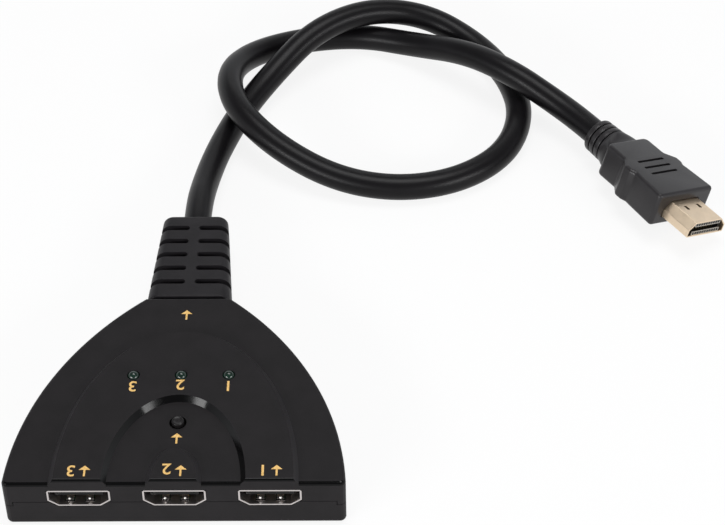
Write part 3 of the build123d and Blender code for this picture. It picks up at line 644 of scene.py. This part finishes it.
def make_button(material):
    """The button's cap: a soft edge and a slightly hollow top, and its flange."""
    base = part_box("select_button")[0].z / MM
    shoulder = base + BUTTON_FLANGE_THICK
    profile = [(BUTTON_FLANGE, base), (BUTTON_FLANGE, shoulder), (BUTTON_RADIUS, shoulder),
               (BUTTON_RADIUS, BUTTON_TOP - BUTTON_EDGE)]
    profile += [(BUTTON_RADIUS - BUTTON_EDGE * (1 - math.cos(turn)),
                 BUTTON_TOP - BUTTON_EDGE * (1 - math.sin(turn)))
                for turn in quarter_turns(BUTTON_EDGE_STEPS, 1)]
    profile += [(radius, BUTTON_TOP - drop) for radius, drop in BUTTON_HOLLOW]
    button = turned_piece("button_cap", "select_button", profile)
    button.data.materials.append(material)


def new_material(name):
    """A node material, its tree and its shader."""
    material = bpy.data.materials.new(name)
    material.use_nodes = True
    tree = material.node_tree
    return material, tree, tree.nodes["Principled BSDF"]


def noise(tree, scale, detail=2.0, stretch=(1.0, 1.0, 1.0)):
    """Noise in the object's own metres; scale is in cycles per metre."""
    place = tree.nodes.new("ShaderNodeTexCoord")
    mapping = tree.nodes.new("ShaderNodeMapping")
    mapping.inputs["Scale"].default_value = stretch
    texture = tree.nodes.new("ShaderNodeTexNoise")
    texture.inputs["Scale"].default_value = scale
    texture.inputs["Detail"].default_value = detail
    tree.links.new(place.outputs["Object"], mapping.inputs["Vector"])
    tree.links.new(mapping.outputs["Vector"], texture.inputs["Vector"])
    return texture.outputs["Fac"]


def uneven_gloss(tree, shader, value, rough):
    """Roughness that a noise value varies a little."""
    ranger = tree.nodes.new("ShaderNodeMapRange")
    ranger.inputs["From Min"].default_value = NOISE_ENDS[0]
    ranger.inputs["From Max"].default_value = NOISE_ENDS[1]
    ranger.inputs["To Min"].default_value = rough - ROUGHNESS_VARY
    ranger.inputs["To Max"].default_value = rough + ROUGHNESS_VARY
    tree.links.new(value, ranger.inputs["Value"])
    tree.links.new(ranger.outputs["Result"], shader.inputs["Roughness"])


def two_shades(tree, shader, value, dark, light):
    """The base colour between two shades, by a noise value."""
    ramp = tree.nodes.new("ShaderNodeValToRGB")
    for element, position, shade in zip(ramp.color_ramp.elements, SHADE_ENDS, (dark, light)):
        element.position = position
        element.color = (*shade, 1.0)
    tree.links.new(value, ramp.inputs["Fac"])
    tree.links.new(ramp.outputs["Color"], shader.inputs["Base Color"])


def grain(tree, shader, value, depth, strength):
    """Surface relief from a noise value, depth in metres."""
    bump = tree.nodes.new("ShaderNodeBump")
    bump.inputs["Distance"].default_value = depth
    bump.inputs["Strength"].default_value = strength
    tree.links.new(value, bump.inputs["Height"])
    tree.links.new(bump.outputs["Normal"], shader.inputs["Normal"])


def plastic(name, colour, rough, grain_scale, grain_depth, strength, specular):
    """Moulded plastic: two close shades, uneven gloss and a fine moulded grain."""
    material, tree, shader = new_material(name)
    dark = tuple(c * (1.0 - PLASTIC_SHADE_VARY) for c in colour)
    light = tuple(c * (1.0 + PLASTIC_SHADE_VARY) for c in colour)
    two_shades(tree, shader, noise(tree, PLASTIC_SHADE_SCALE, 3.0), dark, light)
    fine = noise(tree, grain_scale, 3.0)
    uneven_gloss(tree, shader, fine, rough)
    grain(tree, shader, fine, grain_depth, strength)
    shader.inputs["Specular IOR Level"].default_value = specular
    return material


def metal(name, colour, rough, line_scale, stretch):
    """Plated sheet metal with a fine rolled grain and slight dulling."""
    material, tree, shader = new_material(name)
    shader.inputs["Metallic"].default_value = 1.0
    dull = tuple(c * METAL_DULL_SHARE for c in colour)
    two_shades(tree, shader, noise(tree, METAL_SHADE_SCALE, 3.0), dull, colour)
    lines = noise(tree, line_scale, 2.0, stretch)
    uneven_gloss(tree, shader, lines, rough)
    grain(tree, shader, lines, METAL_LINE_DEPTH, METAL_LINE_STRENGTH)
    return material


def lens_material():
    """Dark green tinted lens, slightly cloudy inside."""
    material, tree, shader = new_material("lamp_lens_finish")
    dark, light = (0.002, 0.010, 0.006), (0.004, 0.022, 0.013)
    two_shades(tree, shader, noise(tree, 900.0, 2.0), dark, light)
    shader.inputs["Roughness"].default_value = 0.10
    shader.inputs["Coat Weight"].default_value = 0.35
    shader.inputs["Specular IOR Level"].default_value = 0.3
    shader.inputs["Coat Roughness"].default_value = 0.05
    grain(tree, shader, noise(tree, 2500.0, 1.0), 0.01 * MM, 0.2)
    return material


def board_material():
    """Green solder mask with a faint weave under it."""
    material, tree, shader = new_material("board_finish")
    dark, light = (0.010, 0.075, 0.032), (0.018, 0.110, 0.050)
    two_shades(tree, shader, noise(tree, 1200.0, 2.0), dark, light)
    shader.inputs["Roughness"].default_value = 0.35
    grain(tree, shader, noise(tree, 3000.0, 1.0, (1.0, 0.2, 1.0)), 0.01 * MM, 0.3)
    return material


def print_material():
    """Gold ink with slightly uneven cover."""
    material, tree, shader = new_material("print_finish")
    dark, light = (0.62, 0.36, 0.09), (0.86, 0.56, 0.20)
    two_shades(tree, shader, noise(tree, 2600.0, 3.0), dark, light)
    shader.inputs["Roughness"].default_value = 0.45
    grain(tree, shader, noise(tree, 6000.0, 2.0), 0.004 * MM, 0.4)
    return material


def make_finishes():
    """Every finish of the object, by name."""
    made = {name: plastic(name + "_finish", *values) for name, values in PLASTICS.items()}
    for name, values in METALS.items():
        made[name] = metal(name + "_finish", *values)
    made.update(lens=lens_material(), board=board_material(), print=print_material())
    return made


def polish(node, material, chosen):
    """Gives one more material to the faces of a CAD node that a test on middle and normal chooses;
    the top gets its painted highlight and its partly painted dark rim this way.
    """
    piece = NODES[node]
    piece.data.materials.append(material)
    index = len(piece.data.materials) - 1
    place = piece.matrix_world
    turn = place.to_3x3()
    for face in piece.data.polygons:
        if chosen(place @ face.center, (turn @ face.normal).normalized()):
            face.material_index = index


def outwardness(middle, normal):
    """How far a face of the bands looks away from the middle of the case's front."""
    return Vector((middle.x, middle.y - FRONT)).dot(normal.xy)


def is_outer_slope(middle, normal):
    """Whether a face belongs to the outer slanted faces of the bands or of the tongue, which are
    given a painted highlight.
    """
    slanted = SLANT_LOW < normal.z < SLANT_HIGH
    return slanted and LOWER_LEVEL < middle.z < UPPER_LEVEL and outwardness(middle, normal) > 0.0


def is_polished(middle, normal):
    """Whether a face belongs to the dish's rim or to the front's upper edge, which get a glossy
    finish whose near-black colour is painted shade.
    """
    slanted = SLANT_LOW < normal.z < SLANT_HIGH
    rim = (LOWER_LEVEL < middle.z < UPPER_LEVEL and middle.y > FRONT
           and outwardness(middle, normal) < 0.0)
    edge = (middle.y < FRONT + EDGE_REACH and middle.z > LOWER_LEVEL - EDGE_REACH
            and -normal.y > SLANT_LOW)
    return slanted and (rim or edge)


def finish_nodes(finishes):
    """A finish for every CAD node that shows itself; the top's polished faces get a near-black
    gloss that is partly painted shade, and its outer slanted faces a painted highlight.
    """
    for node, finish in NODE_FINISHES.items():
        NODES[node].data.materials.clear()
        NODES[node].data.materials.append(finishes[finish])
    # glossy rim and upper edge; their near-black colour is painted shade
    polish("top_shell", finishes["gloss"], is_polished)
    # painted highlight on the outer slanted faces
    polish("top_shell", finishes["painted_highlight_slope"], is_outer_slope)


def print_mark(name, mesh, ink):
    """A printed mark on the case, from its mesh."""
    mesh.materials.clear()
    mesh.materials.append(ink)
    link(name, mesh, "case")


def printed_figure(name, figure, place, ink):
    """One printed figure, read from the cable's side."""
    font = bpy.data.curves.new(name + "_font", "FONT")
    font.body = figure
    font.size = FIGURE_HEIGHT / FONT_FIGURE_SHARE
    font.align_x = "CENTER"
    font.align_y = "CENTER"
    font.offset = FIGURE_BOLD
    font.extrude = PRINT_THICK / 2
    maker = add_object(name + "_maker", font)
    bpy.context.view_layer.update()
    graph = bpy.context.evaluated_depsgraph_get()
    mesh = bpy.data.meshes.new_from_object(maker.evaluated_get(graph))
    bpy.data.objects.remove(maker)
    centre = sum((v.co for v in mesh.vertices), Vector()) / len(mesh.vertices)
    spin = Matrix.Rotation(math.pi, 4, "Z")
    mesh.transform(Matrix.Translation(place) @ spin @ Matrix.Translation(-centre))
    print_mark(name, mesh, ink)


def printed_arrow(name, place, ink):
    """A printed arrow that points to the back: a shaft and a head."""
    half = FIGURE_HEIGHT / 2
    shaft = FIGURE_HEIGHT * ARROW_SHAFT_SHARE / 2
    head = FIGURE_HEIGHT * ARROW_HEAD_SHARE
    waist = FIGURE_HEIGHT * ARROW_WAIST_SHARE
    points = [(-shaft, -half), (shaft, -half), (shaft, waist), (head, waist),
              (0.0, half), (-head, waist), (-shaft, waist)]
    count = len(points)
    low = [(x, y, -PRINT_THICK / 2) for x, y in points]
    high = [(x, y, PRINT_THICK / 2) for x, y in points]
    faces = [tuple(range(count, 2 * count)), tuple(reversed(range(count)))]
    faces += [(i, (i + 1) % count, count + (i + 1) % count, count + i) for i in range(count)]
    mesh = bpy.data.meshes.new(name)
    mesh.from_pydata(low + high, [], faces)
    mesh.transform(Matrix.Translation(place))
    print_mark(name, mesh, ink)


def make_print(ink):
    """Figures beside the lamps and sockets, and arrows for the sockets, button and cable."""
    upper = UPPER_LEVEL + PRINT_THICK / 2
    lower = LOWER_LEVEL + PRINT_THICK / 2
    for number in INPUTS:
        x = box_middle("lamp_%d" % number).x
        place = Vector((x, FRONT + LAMP_FIGURE_BACK, upper))
        printed_figure("lamp_figure_%d" % number, str(number), place, ink)
        x = box_middle("socket_%d_shell" % number).x
        y = FRONT + SOCKET_FIGURE_BACK
        place = Vector((x + SOCKET_FIGURE_SHIFT, y, upper))
        printed_figure("socket_figure_%d" % number, str(number), place, ink)
        place = Vector((x + SOCKET_ARROW_SHIFT, y, upper))
        printed_arrow("socket_arrow_%d" % number, place, ink)
    printed_arrow("button_arrow", Vector((0.0, FRONT + BUTTON_ARROW_BACK, lower)), ink)
    printed_arrow("cable_arrow", Vector((0.0, FRONT + CABLE_ARROW_BACK, lower)), ink)


def joined(tree, operation, first, second):
    """Two values joined by one math operation."""
    node = tree.nodes.new("ShaderNodeMath")
    node.operation = operation
    tree.links.new(first, node.inputs[0])
    tree.links.new(second, node.inputs[1])
    return node.outputs["Value"]


def seen(tree):
    """1 for rays from the camera, a mirror or glass, otherwise 0."""
    path = tree.nodes.new("ShaderNodeLightPath")
    gloss = joined(tree, "MAXIMUM", path.outputs["Is Glossy Ray"],
                   path.outputs["Is Transmission Ray"])
    return joined(tree, "MAXIMUM", path.outputs["Is Camera Ray"], gloss)


def floor_material():
    """White that glows for the camera and mirrors, and is plain for everything else."""
    material = bpy.data.materials.new("floor_finish")
    material.use_nodes = True
    tree = material.node_tree
    tree.nodes.remove(tree.nodes["Principled BSDF"])
    diffuse = tree.nodes.new("ShaderNodeBsdfDiffuse")
    diffuse.inputs["Color"].default_value = FLOOR_COLOUR
    glow = tree.nodes.new("ShaderNodeEmission")
    glow.inputs["Strength"].default_value = 1.0
    mix = tree.nodes.new("ShaderNodeMixShader")
    share = tree.nodes.new("ShaderNodeMath")
    share.operation = "MULTIPLY"
    share.inputs[1].default_value = FLOOR_GLOW_SHARE
    tree.links.new(seen(tree), share.inputs[0])
    tree.links.new(share.outputs["Value"], mix.inputs["Fac"])
    tree.links.new(diffuse.outputs["BSDF"], mix.inputs[1])
    tree.links.new(glow.outputs["Emission"], mix.inputs[2])
    tree.links.new(mix.outputs["Shader"], tree.nodes["Material Output"].inputs["Surface"])
    return material


def make_floor():
    """A white floor that reads as white to the camera and still takes soft shadows."""
    mesh = bpy.data.meshes.new("floor")
    corners = [(x * FLOOR_REACH, y * FLOOR_REACH, 0.0)
               for x, y in ((-1, -1), (1, -1), (1, 1), (-1, 1))]
    mesh.from_pydata(corners, [], [(0, 1, 2, 3)])
    mesh.materials.append(floor_material())
    floor = add_object("floor", mesh)


def make_world():
    """A dim even studio before a white backdrop, which the camera and reflections see as white."""
    world = bpy.data.worlds.new("studio")
    bpy.context.scene.world = world
    world.use_nodes = True
    tree = world.node_tree
    background = tree.nodes["Background"]
    background.inputs["Color"].default_value = WORLD_COLOUR
    place = tree.nodes.new("ShaderNodeTexCoord")
    split = tree.nodes.new("ShaderNodeSeparateXYZ")
    backdrop = tree.nodes.new("ShaderNodeMapRange")
    backdrop.inputs["From Min"].default_value = BACKDROP_TOP
    backdrop.inputs["From Max"].default_value = BACKDROP_FADE
    tree.links.new(place.outputs["Generated"], split.inputs["Vector"])
    tree.links.new(split.outputs["Z"], backdrop.inputs["Value"])
    path = tree.nodes.new("ShaderNodeLightPath")
    mirrored = joined(tree, "MULTIPLY", seen(tree), backdrop.outputs["Result"])
    white = joined(tree, "MAXIMUM", path.outputs["Is Camera Ray"], mirrored)
    ranger = tree.nodes.new("ShaderNodeMapRange")
    ranger.inputs["To Min"].default_value = WORLD_LEVEL
    ranger.inputs["To Max"].default_value = 1.0
    tree.links.new(white, ranger.inputs["Value"])
    tree.links.new(ranger.outputs["Result"], background.inputs["Strength"])


def area_light(name, place, target, size, power):
    """A soft rectangular lamp that faces a target."""
    data = bpy.data.lights.new(name, "AREA")
    data.shape = "RECTANGLE"
    data.size, data.size_y = size
    data.energy = power
    lamp = add_object(name, data)
    way = Vector(target) - Vector(place)
    turned = way.to_track_quat("-Z", "Y").to_matrix().to_4x4()
    lamp.matrix_world = Matrix.Translation(place) @ turned


bpy.context.scene.view_settings.view_transform = "Standard"
make_camera()
cable, boot, neck, plug = make_cable()

finishes = make_finishes()
for piece, finish in ((cable, "cable"), (boot, "boot"), (neck, "boot"), (plug, "plug")):
    piece.data.materials.append(finishes[finish])
make_lamps(finishes["lens"])
make_button(finishes["button"])
make_plug_mouth(finishes["mouth"], finishes["block"])
make_spring_tips(finishes["tip"])
finish_nodes(finishes)
make_print(finishes["print"])

make_floor()
make_world()
for studio_lamp in STUDIO_LAMPS:
    area_light(*studio_lamp)
